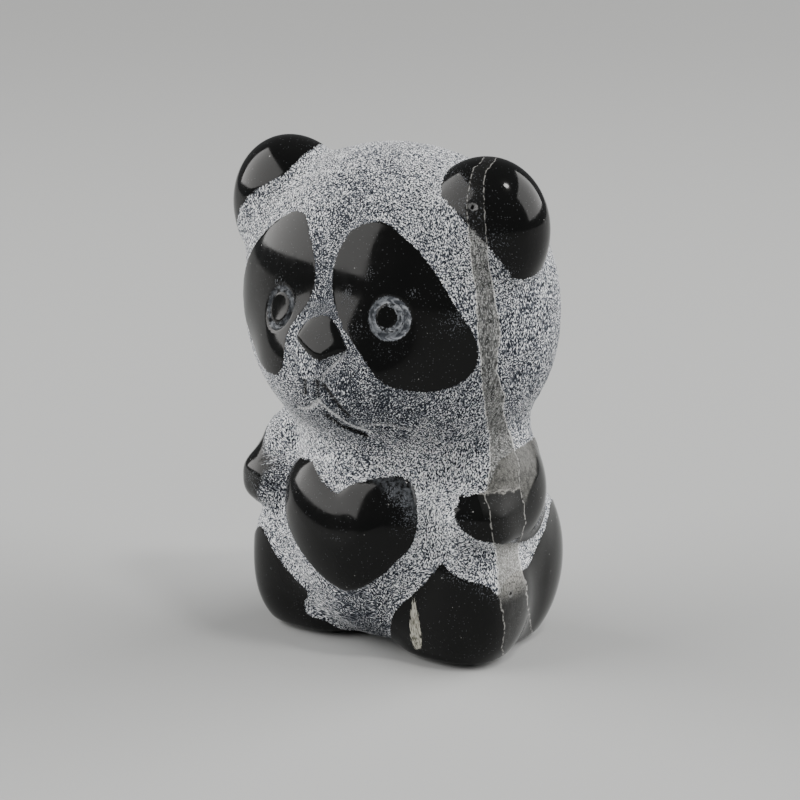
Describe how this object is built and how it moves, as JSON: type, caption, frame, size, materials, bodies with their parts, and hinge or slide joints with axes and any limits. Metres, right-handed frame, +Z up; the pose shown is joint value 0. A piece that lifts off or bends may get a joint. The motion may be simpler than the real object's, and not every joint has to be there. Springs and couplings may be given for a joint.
{
  "type": "panda figurine",
  "caption": "Small seated panda carved from one piece of black stone, with polished and frosted areas, a raised heart on its chest and a flat base.",
  "frame": {"origin": "centre of the flat base, on the surface that the figure stands on", "axes": "+Z up through the head, -Y the way the panda faces, +X to the panda's left"},
  "size_m": [0.0506, 0.0386, 0.07],
  "materials": {
    "black_stone": "polished black stone, frosted to a pale grey where the fur is white"
  },
  "bodies": {
    "root": {"panda_figurine": "black_stone"}
  },
  "joints": []
}
